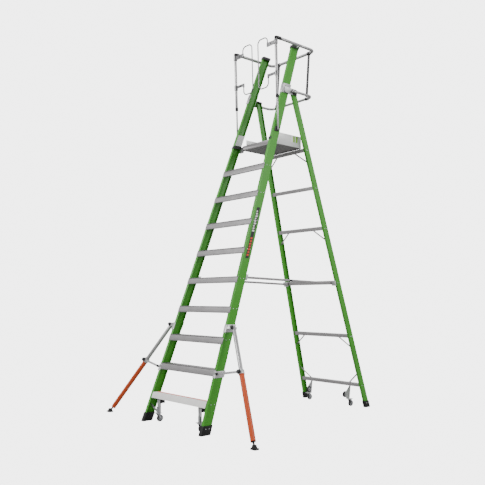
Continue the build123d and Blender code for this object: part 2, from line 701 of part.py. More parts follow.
# ---------------------------------------------------------------- spreaders
spreader_start = at(0, *SPREADER_FRONT)
spreader_end = at(0, *SPREADER_REAR)
knuckle = spreader_start + (spreader_end - spreader_start) * SPREADER_JOINT


def make_link(start, end, x_in, side):
    """Flat spreader bar with round ends, drilled for its pin at the start."""
    run = end - start
    with BuildPart() as link:
        plane = Plane(origin=start + Vector(min(side * x_in, side * (x_in + SPREADER_THICK)), 0, 0),
                      x_dir=run, z_dir=(1, 0, 0))
        with BuildSketch(plane) as outline:
            with Locations((run.length / 2, 0)):
                SlotCenterToCenter(run.length, SPREADER_BAR)
            Circle(5 + RUN, mode=Mode.SUBTRACT)
        extrude(outline.sketch, amount=SPREADER_THICK)
    return link


for name, side in SIDES.items():
    front_link = make_link(spreader_start, knuckle, FRONT_LINK_IN, side)
    save(front_link.part, f"spreader_front_{name}")
    rear_link = make_link(spreader_end, knuckle, REAR_LINK_IN, side)
    save(rear_link.part, f"spreader_rear_{name}")


# ---------------------------------------------------------------- guard-rail cage
def make_guard_rail(front, rear, z, radius, pivot):
    """U-shaped tube round three sides of the platform, drilled for its pivot."""
    ends = ((-CAGE_HALF, front), (-CAGE_HALF, rear), (CAGE_HALF, rear), (CAGE_HALF, front))
    corners = [at(x, y, z) for x, y in ends]
    with BuildPart() as rail:
        with BuildLine() as path:
            FilletPolyline(*corners, radius=GUARD_BEND)
        with BuildSketch(Plane(origin=corners[0], z_dir=(0, 1, 0))) as section:
            Circle(radius)
            Circle(radius - TUBE_WALL, mode=Mode.SUBTRACT)
        sweep(section.sketch, path=path.line)
        pin_x(*pivot, -2 * CAGE_HALF, 2 * CAGE_HALF, RAIL_PIN + RUN, Mode.SUBTRACT)
    return rail


TONGUE = 22.0
top_guard_rail = make_guard_rail(TOP_RAIL_FRONT + TONGUE, TOP_RAIL_REAR, TOP_PIVOT[1], TOP_RAIL_R, TOP_PIVOT)
save(top_guard_rail.part, "top_guard_rail")
with BuildPart() as mid_guard_rail:
    add(make_guard_rail(MID_RAIL_FRONT, MID_RAIL_REAR, MID_PIVOT[1], MID_RAIL_R, MID_PIVOT).part)
    for side in (LEFT, RIGHT):
        ear_x = side * (STRUT_HALF + STRUT_WIDTH / 2 + 1)
        pin_x(MID_RAIL_REAR, MID_PIVOT[1], ear_x, ear_x + side * 5, MID_RAIL_R + 6)
        ear_top = MID_PIVOT[1] + STRUT_EYE
        block(at(ear_x, MID_RAIL_REAR - 9, MID_PIVOT[1]), at(ear_x + side * 5, MID_RAIL_REAR + 9, ear_top))
        pin_x(MID_RAIL_REAR, ear_top, ear_x, ear_x + side * 5, 9)
    pin_x(MID_RAIL_REAR, MID_PIVOT[1], -CAGE_HALF + 70, CAGE_HALF - 70, MID_RAIL_R - TUBE_WALL, Mode.SUBTRACT)
save(mid_guard_rail.part, "mid_guard_rail")


def make_top_fitting(side):
    """End fitting of the top guard rail, with the tongue that the post hangs from."""
    y, z = TOP_RAIL_FRONT, TOP_PIVOT[1]
    with BuildPart() as fitting:
        rod(at(side * CAGE_HALF, y + TONGUE + 2, z), at(side * CAGE_HALF, y + TONGUE + 50, z),
            TOP_RAIL_R + 3, TOP_RAIL_R)
        rod(at(side * CAGE_HALF, y + TONGUE - 6, z), at(side * CAGE_HALF, y + TONGUE, z), TOP_RAIL_R)
        block(at(side * (CAGE_HALF - 10), y, z - 13), at(side * (CAGE_HALF + 10), y + TONGUE - 3, z + 13))
        pin_x(y, z, side * (CAGE_HALF - 10), side * (CAGE_HALF + 10), 13)
        pin_x(y, z, side * (CAGE_HALF - 11), side * (CAGE_HALF + 11), RAIL_PIN + RUN, Mode.SUBTRACT)
    return fitting


top_rail_fittings = make_pair(make_top_fitting)
save(top_rail_fittings.part, "top_rail_fittings")

strut_top = at(0, TOP_RAIL_REAR, TOP_PIVOT[1])
strut_foot = at(0, MID_RAIL_REAR, MID_PIVOT[1] + STRUT_EYE)
for name, side in SIDES.items():
    with BuildPart() as strut:
        shift = Vector(side * STRUT_HALF, 0, 0)
        half = Vector(STRUT_WIDTH / 2 + 1, 0, 0)
        run = strut_foot - strut_top
        shank = Plane(origin=strut_top + shift, x_dir=(1, 0, 0), z_dir=run)
        with BuildSketch(shank) as outline:
            Rectangle(STRUT_WIDTH, STRUT_THICK)
        extrude(outline.sketch, amount=run.length)
        rod(strut_top + shift - half, strut_top + shift + half, TOP_RAIL_R + 6)
        rod(strut_foot + shift - half * 0.94, strut_foot + shift + half * 0.94, 10)
        rod(strut_top + shift - half * 2, strut_top + shift + half * 2, TOP_RAIL_R + RUN, mode=Mode.SUBTRACT)
    save(strut.part, f"cage_strut_{name}")

# ---------------------------------------------------------------- posts and gates
post_top = at(0, TOP_RAIL_FRONT, TOP_PIVOT[1])
post_run = (at(0, *POST_FOOT) - post_top)
post_down = post_run.normalized()
gate_plane = Plane(origin=post_top, x_dir=(1, 0, 0), z_dir=(0, post_down.Z, -post_down.Y))


def on_post(side, distance):
    """Point on a post's axis, down from its top pivot."""
    return post_top + post_down * distance + Vector(side * CAGE_HALF, 0, 0)


CLEVIS_START = 24.0
POST_TUBE_START = 34.0
for name, side in SIDES.items():
    with BuildPart() as post_tube:
        rod(on_post(side, POST_TUBE_START), on_post(side, POST_TUBE_END), POST_R, POST_BORE)
    save(post_tube.part, f"post_tube_{name}")

    with BuildPart() as post_slider:
        rod(on_post(side, SLIDER_START), on_post(side, post_run.length + 14), SLIDER_R, SLIDER_R - 2)
    save(post_slider.part, f"post_slider_{name}")

    with BuildPart() as post_fittings:
        rod(on_post(side, CLEVIS_START), on_post(side, POST_TUBE_START), POST_R + 3)
        rod(on_post(side, POST_TUBE_START), on_post(side, POST_TUBE_START + 14), POST_R + 3, POST_R)
        for inner, outer in ((11.0, 15.0), (-15.0, -11.0)):
            with BuildSketch(gate_plane.offset(-9)) as cheek:
                with Locations((side * CAGE_HALF + (inner + outer) / 2, -CLEVIS_START / 2 - 1)):
                    Rectangle(outer - inner, CLEVIS_START + 4)
            extrude(cheek.sketch, amount=18)
            cheek_at = post_top + Vector(side * CAGE_HALF, 0, 0)
            rod(cheek_at + Vector(inner, 0, 0), cheek_at + Vector(outer, 0, 0), 9)
        rod(cheek_at - Vector(17, 0, 0), cheek_at + Vector(17, 0, 0), RAIL_PIN)
        rod(on_post(side, POST_TUBE_END - 26), on_post(side, POST_TUBE_END), POST_R + 3, POST_R)
        rod(on_post(side, POST_TUBE_END), on_post(side, POST_TUBE_END + 8), POST_R + 3, SLIDER_R + RUN)
        for stub in GATE_STUBS:
            with BuildSketch(gate_plane.offset(-3)) as arm:
                with Locations((side * (GATE_AXIS + CAGE_HALF) / 2, stub + 15)):
                    Rectangle(CAGE_HALF - GATE_AXIS - 16, 22)
            extrude(arm.sketch, amount=6)
            hub = post_top + Vector(side * GATE_AXIS, 0, 0) - post_down * stub
            rod(hub, hub - post_down * 30, GATE_WIRE_R + 4)
            rod(hub + post_down, hub - post_down * 31, GATE_WIRE_R + RUN, mode=Mode.SUBTRACT)
            clamp = on_post(side, -stub)
            rod(clamp, clamp - post_down * 30, POST_R + 3)
            rod(clamp + post_down, clamp - post_down * 31, POST_R, mode=Mode.SUBTRACT)
    save(post_fittings.part, f"post_fittings_{name}")

    upper, lower = GATE_STUBS
    wire = [(GATE_AXIS, upper - 3), (GATE_AXIS, GATE_TOP), (GATE_REACH, GATE_TOP),
            (GATE_REACH, GATE_BOTTOM), (GATE_AXIS, GATE_BOTTOM), (GATE_AXIS, lower + 33)]
    with BuildPart() as gate:
        with BuildLine(gate_plane) as path:
            FilletPolyline(*[(side * x, v) for x, v in wire], radius=50)
        with BuildSketch(Plane(origin=path.line @ 0, z_dir=path.line % 0)) as section:
            Circle(GATE_WIRE_R)
        sweep(section.sketch, path=path.line)
    save(gate.part, f"gate_{name}")

# ---------------------------------------------------------------- outriggers
leg_plane = FRONT.plane(LEG_SET_BACK)
leg_v = FRONT.along(LEG_TOP[1], LEG_SET_BACK)
foot_v = FRONT.along(0, LEG_SET_BACK)
FOOT_PAD = 14.0
FOOT_BOOT = 26.0             # cone of the rubber boot, above its pad
FOOT_BOOT_R = 27.0
BALL = 88.0                  # centre of the ankle's ball, along the leg from the floor
BALL_IN = 12.0               # how far the ball sits inside the leg's end


def on_leg(side, share):
    """Point on an outrigger's axis, as a share of the way from its pivot to the floor."""
    x = LEG_TOP[0] + (LEG_FOOT - LEG_TOP[0]) * share
    return leg_plane.from_local_coords((side * x, leg_v + (foot_v - leg_v) * share, 0))


leg_length = (on_leg(RIGHT, 1) - on_leg(RIGHT, 0)).length
brace_plane = FRONT.plane(LEG_SET_BACK - LEG_R - 1.0)
brace_foot_v = FRONT.along(BRACE_FOOT[1], LEG_SET_BACK)
for name, side in SIDES.items():
    axis = leg_plane.z_dir
    with BuildPart() as outrigger_tube:
        tube_end = on_leg(side, LEG_JOINT + LEG_OVERLAP / leg_length)
        rod(on_leg(side, -0.01), tube_end, LEG_TUBE_R, LEG_TUBE_R - TUBE_WALL)
        top = on_leg(side, 0)
        rod(top - axis * 14, top + axis * 14, 12)
        rod(top - axis * 20, top + axis * 20, RAIL_PIN + RUN, mode=Mode.SUBTRACT)
    save(outrigger_tube.part, f"outrigger_tube_{name}")

    with BuildPart() as outrigger_leg:
        joint = on_leg(side, LEG_JOINT)
        ankle = on_leg(side, 1 - (BALL - BALL_IN) / leg_length)
        rod(joint, ankle, LEG_R, LEG_TUBE_R + RUN)
        rod(joint, on_leg(side, LEG_JOINT + 0.035), LEG_R + 4, LEG_R)
    save(outrigger_leg.part, f"outrigger_leg_{name}")

    if side == LEFT:
        with BuildPart() as foot_shape:
            block(at(side * (LEG_FOOT - 34), 0, 0), at(side * (LEG_FOOT + 34), 56, FOOT_PAD))
            fillet(foot_shape.edges().filter_by(Axis.Z), 12)
            ball = on_leg(side, 1 - BALL / leg_length)
            ankle_foot = on_leg(side, 1) + Vector(0, 0, FOOT_PAD - 1)
            with Locations(Location(at(side * (LEG_FOOT - 4), 28, FOOT_PAD + FOOT_BOOT / 2))):
                Cone(FOOT_BOOT_R, FOOT_BOOT_R - 8, FOOT_BOOT)
            rod(ankle_foot, ball, 9)
            with Locations(ball):
                Sphere(LEG_TUBE_R)
    with BuildPart() as outrigger_foot:
        add(foot_shape.part)
        if side == RIGHT:
            mirror(about=Plane.YZ, mode=Mode.REPLACE)
    save(outrigger_foot.part, f"outrigger_foot_{name}")

    joint_v = leg_v + (foot_v - leg_v) * (LEG_JOINT + 0.018)
    joint_x = LEG_TOP[0] + (LEG_FOOT - LEG_TOP[0]) * (LEG_JOINT + 0.018)
    with BuildPart() as outrigger_brace:
        start = brace_plane.from_local_coords((side * BRACE_FOOT[0], brace_foot_v, 0))
        run = brace_plane.from_local_coords((side * joint_x, joint_v, 0)) - start
        with BuildSketch(Plane(origin=start + axis * 4, x_dir=run, z_dir=axis)) as outline:
            with Locations((run.length / 2, 0)):
                SlotCenterToCenter(run.length, 22)
            Circle(RAIL_PIN + RUN, mode=Mode.SUBTRACT)
        extrude(outline.sketch, amount=5)
    save(outrigger_brace.part, f"outrigger_brace_{name}")


# ---------------------------------------------------------------- casters
def make_wheel(x, y, z):
    """Solid wheel on an axle along X."""
    half = CASTER_WHEEL_WIDTH / 2
    with BuildPart() as wheel:
        rod(at(x - half, y, z), at(x + half, y, z), CASTER_WHEEL_R, 5 + RUN)
        fillet(wheel.edges().filter_by(GeomType.CIRCLE).sort_by(SortBy.RADIUS)[-2:], 5)
    return wheel


def make_fork(x, y):
    """Swivel fork under a caster's plate, with its axle."""
    wheel_z = CASTER_WHEEL_R + CASTER_LIFT
    gap = CASTER_WHEEL_WIDTH / 2 + 1.5
    axle_y = y + CASTER_TRAIL
    top = CASTER_PLATE_Z - FIT
    with BuildPart() as fork:
        block(at(x - gap - 3, y - 20, top - 8), at(x + gap + 3, y + 24, top))
        for side in (LEFT, RIGHT):
            inner, outer = x + side * gap, x + side * (gap + 3)
            outline = [(y - 16, top - 1), (y + 20, top - 1), (axle_y + 11, wheel_z),
                       (axle_y + 6, wheel_z - 10),
                       (axle_y - 6, wheel_z - 10), (axle_y - 11, wheel_z)]
            side_plate([(FRONT_Y + py, pz) for py, pz in outline], inner, outer)
        pin_x(axle_y, wheel_z, x - gap - 5, x + gap + 5, 5)
    return fork


for name, side in SIDES.items():
    for end, (x, y) in (("front", FRONT_CASTER), ("rear", REAR_CASTER)):
        fork = make_fork(side * x, y)
        save(fork.part, f"{end}_caster_fork_{name}")
        wheel = make_wheel(side * x, y + CASTER_TRAIL, CASTER_WHEEL_R + CASTER_LIFT)
        save(wheel.part, f"{end}_wheel_{name}")
    upper_wheel = make_wheel(side * (UPPER_WHEEL_PLATE - 3 - CASTER_WHEEL_WIDTH / 2), *UPPER_WHEEL)
    save(upper_wheel.part, f"rear_upper_wheel_{name}")
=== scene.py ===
"""A fibreglass podium ladder with its guard-rail cage, gates, outriggers and casters.

Metres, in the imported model's frame. Each section is one piece or a group of like pieces.
"""
import json
import math

import bmesh
import bpy
from mathutils import Matrix, Vector


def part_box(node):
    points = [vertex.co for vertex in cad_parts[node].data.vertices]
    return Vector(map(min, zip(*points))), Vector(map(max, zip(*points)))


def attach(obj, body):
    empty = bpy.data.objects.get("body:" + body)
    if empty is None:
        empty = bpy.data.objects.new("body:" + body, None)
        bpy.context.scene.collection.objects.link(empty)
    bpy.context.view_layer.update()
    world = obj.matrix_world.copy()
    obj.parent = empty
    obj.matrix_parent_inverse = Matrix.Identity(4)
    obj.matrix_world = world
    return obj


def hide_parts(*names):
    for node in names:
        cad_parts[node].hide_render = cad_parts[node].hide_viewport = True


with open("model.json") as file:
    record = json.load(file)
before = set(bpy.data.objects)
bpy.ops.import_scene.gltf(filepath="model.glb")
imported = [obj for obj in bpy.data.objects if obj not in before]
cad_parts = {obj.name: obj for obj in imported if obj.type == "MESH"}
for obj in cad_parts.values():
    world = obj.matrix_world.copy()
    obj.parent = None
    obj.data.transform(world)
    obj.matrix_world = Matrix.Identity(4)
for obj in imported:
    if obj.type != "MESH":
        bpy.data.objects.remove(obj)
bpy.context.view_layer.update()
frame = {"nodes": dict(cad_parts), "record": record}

# ------------------------------------------------------------ view and studio
# A long lens at chest height, level, standing off the ladder's right front corner. A pale sweep and
# three broad soft lights, the strongest from the front left.
camera = bpy.data.objects.new("camera", bpy.data.cameras.new("camera"))
camera.data.lens = 47.7
camera.data.sensor_width = 36.0
camera.data.shift_y = 0.1167
camera.location = (5.318, -4.949, 1.292)
camera.rotation_euler = (math.radians(90), 0, math.radians(48.88))
bpy.context.scene.collection.objects.link(camera)
bpy.context.scene.camera = camera


def linear(colour):
    """sRGB hex to a linear colour with full alpha."""
    values = [int(colour[i:i + 2], 16) / 255 for i in (1, 3, 5)]
    return [v / 12.92 if v <= 0.04045 else ((v + 0.055) / 1.055) ** 2.4 for v in values] + [1.0]


def add_node(tree, kind, values=None, links=None, **settings):
    """Add a node with its settings, its sockets' values and the sources linked to its sockets."""
    made = tree.nodes.new(kind)
    for key, value in settings.items():
        setattr(made, key, value)
    for key, value in (values or {}).items():
        made.inputs[key].default_value = value
    for key, source in (links or {}).items():
        tree.links.new(source, made.inputs[key])
    return made


def start_material(name, roughness, metallic=0.0):
    """A new material, its node tree and its Principled shader."""
    material = bpy.data.materials.new(name)
    material.use_nodes = True
    shader = material.node_tree.nodes["Principled BSDF"]
    shader.inputs["Roughness"].default_value = roughness
    shader.inputs["Metallic"].default_value = metallic
    return material, material.node_tree, shader


def keep(mesh, name, material):
    """Turn a bmesh into a named object with its material, at the origin."""
    data = bpy.data.meshes.new(name)
    bmesh.ops.recalc_face_normals(mesh, faces=mesh.faces)
    mesh.to_mesh(data)
    mesh.free()
    data.materials.append(material)
    piece = bpy.data.objects.new(name, data)
    bpy.context.scene.collection.objects.link(piece)
    return piece


def round_edges(piece, width, segments=2):
    """Soften a piece's sharp edges and shade it smooth."""
    bevel = piece.modifiers.new("soft_edges", "BEVEL")
    bevel.width = width
    bevel.segments = segments
    bevel.limit_method = "ANGLE"
    bevel.angle_limit = math.radians(40)
    bevel.harden_normals = True
    piece.data.shade_smooth()
    return piece


# The floor gives back a little light, and the view sees it as plain white paper.
floor_paint, floor_tree, floor_shader = start_material("studio_floor", 0.9)
floor_shader.inputs["Base Color"].default_value = linear("#9a9a9a")
paper = add_node(floor_tree, "ShaderNodeEmission", {"Color": linear("#ffffff"), "Strength": 4.6})
seen = add_node(floor_tree, "ShaderNodeMixShader", links={
    "Fac": add_node(floor_tree, "ShaderNodeLightPath").outputs["Is Camera Ray"]})
floor_tree.links.new(floor_shader.outputs["BSDF"], seen.inputs[1])
floor_tree.links.new(paper.outputs["Emission"], seen.inputs[2])
floor_tree.links.new(seen.outputs["Shader"], floor_tree.nodes["Material Output"].inputs["Surface"])
floor_mesh = bmesh.new()
bmesh.ops.create_grid(floor_mesh, x_segments=2, y_segments=2, size=40)
floor = keep(floor_mesh, "studio_floor", floor_paint)

sky = bpy.data.worlds.new("studio")
bpy.context.scene.world = sky
sky.use_nodes = True
sky_glow = sky.node_tree.nodes["Background"]
sky_glow.inputs["Color"].default_value = linear("#ffffff")
sky_level = add_node(sky.node_tree, "ShaderNodeMapRange", {"To Min": 0.8, "To Max": 4.6}, {
    "Value": add_node(sky.node_tree, "ShaderNodeLightPath").outputs["Is Camera Ray"]})
sky.node_tree.links.new(sky_level.outputs["Result"], sky_glow.inputs["Strength"])
for name, place, size, power in (("key", (-2.5, -6.5, 6.5), 3.0, 520), ("side", (7.0, 1.5, 5.0), 3.0, 260),
                                 ("back", (-3.0, 6.0, 6.0), 4.0, 160)):
    lamp = bpy.data.lights.new(name, "AREA")
    lamp.energy = power
    lamp.size = size
    light = bpy.data.objects.new(name, lamp)
    light.location = place
    light.rotation_euler = (Vector((0, 0, 1.8)) - Vector(place)).to_track_quat("-Z", "Y").to_euler()
    bpy.context.scene.collection.objects.link(light)

# ------------------------------------------------------------ fibreglass rails
# Four pultruded channels, bright green right through, with the glass rovings just showing as fine
# streaks along their length. Satin from the die.
MM = 0.001
ROVING = 1.6 * MM            # width of a roving, drawn coarse enough to show
ROVING_RUN = 160 * MM


def fibreglass():
    """Pultruded glass fibre in green polyester."""
    material, tree, shader = start_material("green_fibreglass", 0.42)
    place = add_node(tree, "ShaderNodeTexCoord").outputs["Object"]
    along = add_node(tree, "ShaderNodeMapping", {"Scale": (0.12 / ROVING, 0.12 / ROVING, 0.12 / ROVING_RUN)},
                     {"Vector": place}).outputs["Vector"]
    streak = add_node(tree, "ShaderNodeTexNoise", {"Scale": 8.0, "Detail": 4.0}, {"Vector": along})
    cloud = add_node(tree, "ShaderNodeTexNoise", {"Scale": 5.0, "Detail": 2.0}, {"Vector": place})
    tint = add_node(tree, "ShaderNodeValToRGB", links={"Fac": streak.outputs["Fac"]})
    tint.color_ramp.elements[0].position = 0.3
    tint.color_ramp.elements[0].color = linear("#36961a")
    tint.color_ramp.elements[1].position = 0.72
    tint.color_ramp.elements[1].color = linear("#50ac30")
    shade = add_node(tree, "ShaderNodeMix", {"Factor": 0.25}, data_type="RGBA", blend_type="MULTIPLY")
    tree.links.new(tint.outputs["Color"], shade.inputs["A"])
    tree.links.new(cloud.outputs["Fac"], shade.inputs["B"])
    tree.links.new(shade.outputs["Result"], shader.inputs["Base Color"])
    rough = add_node(tree, "ShaderNodeMapRange", {"To Min": 0.34, "To Max": 0.52}, {"Value": streak.outputs["Fac"]})
    tree.links.new(rough.outputs["Result"], shader.inputs["Roughness"])
    bump = add_node(tree, "ShaderNodeBump", {"Strength": 0.12, "Distance": 0.0004},
                    {"Height": streak.outputs["Fac"]})
    tree.links.new(bump.outputs["Normal"], shader.inputs["Normal"])
    return material


def body_of(node):
    """The CAD body that a node belongs to."""
    for body, nodes in frame["record"]["behaviour"]["bodies"].items():
        if node in nodes:
            return body
    return "root"


def dress(node, material, softness=0.8 * MM, second=None, second_where=None):
    """Stand a merged copy with softened edges in for a CAD node.

    Faces whose centres pass the test second_where take the second material.
    """
    mesh = bmesh.new()
    mesh.from_mesh(frame["nodes"][node].data)
    bmesh.ops.remove_doubles(mesh, verts=mesh.verts, dist=0.01 * MM)
    bmesh.ops.dissolve_limit(mesh, angle_limit=math.radians(1), verts=mesh.verts, edges=mesh.edges)
    piece = round_edges(keep(mesh, f"{node}.finished", material), softness)
    if second:
        piece.data.materials.append(second)
        for face in piece.data.polygons:
            face.material_index = int(second_where(face.center))
    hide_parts(node)
    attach(piece, body_of(node))
    return piece


green = fibreglass()
for end in ("front", "rear"):
    for side in ("left", "right"):
        dress(f"{end}_rail_{side}", green, 1.2 * MM)

# ------------------------------------------------------------ treads and steps
# Extruded aluminium with a ribbed top. Mill finish, with fine die lines across the ladder.
DIE_LINE = 1.2 * MM


def extruded(name, light, dark, roughness, run=(0.02, 1.0, 1.0), metallic=0.85):
    """Metal with die or brush lines along the axis whose run is small."""
    material, tree, shader = start_material(name, roughness, metallic)
    place = add_node(tree, "ShaderNodeTexCoord").outputs["Object"]
    scale = [0.5 * r / DIE_LINE for r in run]
    along = add_node(tree, "ShaderNodeMapping", {"Scale": scale}, {"Vector": place}).outputs["Vector"]
    lines = add_node(tree, "ShaderNodeTexNoise", {"Scale": 1.0, "Detail": 5.0, "Roughness": 0.6}, {"Vector": along})
    cloud = add_node(tree, "ShaderNodeTexNoise", {"Scale": 9.0, "Detail": 3.0}, {"Vector": place})
    tint = add_node(tree, "ShaderNodeValToRGB", links={"Fac": lines.outputs["Fac"]})
    tint.color_ramp.elements[0].position = 0.32
    tint.color_ramp.elements[0].color = linear(dark)
    tint.color_ramp.elements[1].position = 0.68
    tint.color_ramp.elements[1].color = linear(light)
    tree.links.new(tint.outputs["Color"], shader.inputs["Base Color"])
    rough = add_node(tree, "ShaderNodeMapRange", {"To Min": roughness - 0.08, "To Max": roughness + 0.1},
                     {"Value": cloud.outputs["Fac"]})
    tree.links.new(rough.outputs["Result"], shader.inputs["Roughness"])
    bump = add_node(tree, "ShaderNodeBump", {"Strength": 0.15, "Distance": 0.0003},
                    {"Height": lines.outputs["Fac"]})
    tree.links.new(bump.outputs["Normal"], shader.inputs["Normal"])
    return material


tread_metal = extruded("tread_aluminium", "#a9a7a8", "#8c8a8b", 0.36)
dress("treads", tread_metal, 0.4 * MM)
dress("bottom_step", tread_metal)

# Each tread has a rounded nose in front of the rails, between the rails' outer corners.
# A rail's half is its web's place at the floor, which comes in by taper and leans back by lean for
# each metre up.
RAILS = {
    "front": {"half": 0.518, "taper": 0.0638, "face": -1.274, "lean": 0.3608, "depth": 0.102, "flange": 0.036},
    "rear": {"half": 0.511, "taper": 0.0598, "face": 1.201, "lean": -0.2897, "depth": 0.073, "flange": 0.028},
}
front_rail = RAILS["front"]
RISE = 304.8 * MM
TREADS = range(2, 10)        # the first step up is the cue tread
NOSE_BULGE = 7 * MM
NOSE_HEIGHT = 64 * MM
NOSE_INSET = 3 * MM          # in from the rails' corners, and down from the tread's top
NOSE_LIFT = 0.4 * MM         # in front of the tread's own face
NOSE_STEPS = 12
for step in TREADS:
    top = step * RISE
    half = front_rail["half"] - front_rail["taper"] * top - NOSE_INSET
    face = front_rail["face"] + front_rail["lean"] * top - NOSE_LIFT
    mesh = bmesh.new()
    rows = []
    for number in range(NOSE_STEPS + 1):
        turn = math.pi * number / NOSE_STEPS
        drop = NOSE_INSET + NOSE_HEIGHT * (1 - math.cos(turn)) / 2
        rows.append((face - front_rail["lean"] * drop - NOSE_BULGE * math.sin(turn) ** 0.8, top - drop))
    ends = [[mesh.verts.new((x, y, z)) for y, z in rows] for x in (-half, half)]
    for number in range(NOSE_STEPS):
        mesh.faces.new((ends[0][number], ends[0][number + 1], ends[1][number + 1], ends[1][number]))
    mesh.faces.new((ends[0][0], ends[1][0], ends[1][-1], ends[0][-1]))
    for end in ends:
        mesh.faces.new(end)
    nose = keep(mesh, f"tread_nose_{step}", tread_metal)
    nose.data.shade_smooth()
    round_edges(nose, 0.6 * MM)
    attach(nose, "front_frame")


def coated(name, colour, roughness, grain=0.6 * MM, depth=0.2):
    """Paint, powder coat or moulded plastic with a fine grain and slight tone changes."""
    material, tree, shader = start_material(name, roughness)
    place = add_node(tree, "ShaderNodeTexCoord").outputs["Object"]
    peel = add_node(tree, "ShaderNodeTexNoise", {"Scale": 1 / (3 * grain), "Detail": 2.0}, {"Vector": place})
    cloud = add_node(tree, "ShaderNodeTexNoise", {"Scale": 14.0, "Detail": 3.0}, {"Vector": place})
    tone = add_node(tree, "ShaderNodeHueSaturation", {"Color": linear(colour)})
    lift = add_node(tree, "ShaderNodeMapRange", {"To Min": 0.86, "To Max": 1.1}, {"Value": cloud.outputs["Fac"]})
    tree.links.new(lift.outputs["Result"], tone.inputs["Value"])
    tree.links.new(tone.outputs["Color"], shader.inputs["Base Color"])
    rough = add_node(tree, "ShaderNodeMapRange", {"To Min": roughness - 0.06, "To Max": roughness + 0.1},
                     {"Value": cloud.outputs["Fac"]})
    tree.links.new(rough.outputs["Result"], shader.inputs["Roughness"])
    bump = add_node(tree, "ShaderNodeBump", {"Strength": depth, "Distance": 0.0003}, {"Height": peel.outputs["Fac"]})
    tree.links.new(bump.outputs["Normal"], shader.inputs["Normal"])
    return material


# The cue tread is a white powder-coated cap that gives under a foot, with an orange strip of grip
# tape along the back of its top.
cue_white = coated("cue_tread_white", "#f2f0ee", 0.4)
warning_orange = coated("grip_tape_orange", "#f0501c", 0.7, 1.0 * MM, 0.5)
dress("cue_tread", cue_white)
cue_low, cue_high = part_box("cue_tread")
TAPE_WIDTH = 30 * MM
TAPE_THICK = 0.8 * MM
TAPE_BACK = 3 * MM           # from the cap's back edge
TAPE_SIDE = 4 * MM           # from its ends


def plate(low, high, name, material, softness=0.3 * MM, bend=None):
    """A thin upright or level plate between two corners, with softened edges."""
    middle = (low + high) / 2
    size = high - low
    mesh = bmesh.new()
    shape = Matrix.Translation(middle) @ Matrix.Diagonal((*size, 1))
    bmesh.ops.create_cube(mesh, size=1, matrix=(bend or Matrix.Identity(4)) @ shape)
    return round_edges(keep(mesh, name, material), softness)


tape = plate(Vector((cue_low.x + TAPE_SIDE, cue_high.y - TAPE_WIDTH - TAPE_BACK, cue_high.z)),
             Vector((cue_high.x - TAPE_SIDE, cue_high.y - TAPE_BACK, cue_high.z + TAPE_THICK)),
             "cue_tape", warning_orange)
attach(tape, "cue_step")

# ------------------------------------------------------------ rubber boots and caps
# Moulded black rubber boots with grip ribs round them and two zinc bolts through the outer wall.
# The rails' top ends wear black moulded caps.
rubber = coated("black_rubber", "#121212", 0.72, 0.8 * MM, 0.5)
plastic = coated("black_plastic", "#17181a", 0.5, 0.5 * MM, 0.35)
for node in ("front_boots", "rear_boots"):
    dress(node, rubber, 2.0 * MM)
for node in ("rail_top_caps", "rear_top_caps"):
    dress(node, plastic, 1.0 * MM)


def rail_matrix(rail, side, z):
    """Frame on a rail at a height: X out of its web, Y back, Z up the rail."""
    x = side * (rail["half"] - rail["taper"] * z)
    y = rail["face"] + rail["lean"] * z
    return Matrix(((side, 0, -side * rail["taper"], x), (0, 1, rail["lean"], y), (0, 0, 1, z), (0, 0, 0, 1)))


def rail_slab(rail, side, low, high, out, back, name, material, body, slot, softness=0.6 * MM):
    """A block that follows a rail's slope. out is measured out of the web, back from its face."""
    piece = plate(Vector((out[0], back[0], 0)), Vector((out[1], back[1], high - low)), name, material,
                  softness, rail_matrix(rail, side, low))
    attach(piece, body)
    return piece


zinc = extruded("zinc_plated_steel", "#c9cacc", "#a6a8ab", 0.32, (0.3, 0.3, 0.3), 0.95)
RIB = 3 * MM
RIB_START = 24 * MM          # height of the lowest rib
BOOT_WALL = 6 * MM           # how far the ribs stand out round the rail
for end, height in (("front", 0.088), ("rear", 0.074)):
    rail = RAILS[end]
    for name, side in (("left", -1), ("right", 1)):
        for step in range(4):
            low = RIB_START + step * height / 5
            rail_slab(rail, side, low, low + RIB, (-rail["flange"] - BOOT_WALL, BOOT_WALL),
                      (-BOOT_WALL, rail["depth"] + BOOT_WALL), f"{end}_boot_rib_{name}_{step}", rubber,
                      f"{end}_frame", "rubber", 0.9 * MM)


def bolt(centre, axis, radius, height, name, material, body, sides=6):
    """A hex or round head with a chamfered top and a round washer under it."""
    mesh = bmesh.new()
    turn = Vector(axis).to_track_quat("Z", "Y").to_matrix().to_4x4()
    at = Matrix.Translation(centre) @ turn
    bmesh.ops.create_cone(mesh, cap_ends=True, segments=24, radius1=radius * 1.35, radius2=radius * 1.3,
                          depth=height * 0.3, matrix=at @ Matrix.Translation((0, 0, height * 0.15)))
    bmesh.ops.create_cone(mesh, cap_ends=True, segments=sides, radius1=radius, radius2=radius,
                          depth=height * 0.7, matrix=at @ Matrix.Translation((0, 0, height * 0.65)))
    piece = round_edges(keep(mesh, name, material), height * 0.12)
    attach(piece, body)
    return piece


for end, z in (("front", 0.062), ("rear", 0.054)):
    rail = RAILS[end]
    for name, side in (("left", -1), ("right", 1)):
        for number, back in enumerate((0.3, 0.7)):
            spot = rail_matrix(rail, side, z) @ Vector((5.2 * MM, rail["depth"] * back, 0))
            bolt(spot, (side, 0, rail["taper"]), 5 * MM, 4 * MM, f"{end}_boot_bolt_{name}_{number}", zinc,
                 f"{end}_frame", 20)

# ------------------------------------------------------------ rivets
# Domed rivets through the rails' webs hold the treads and the rear bars.
RIVET_SEGMENTS = 14
RIVET_FLATNESS = 0.42        # a dome's height over its radius


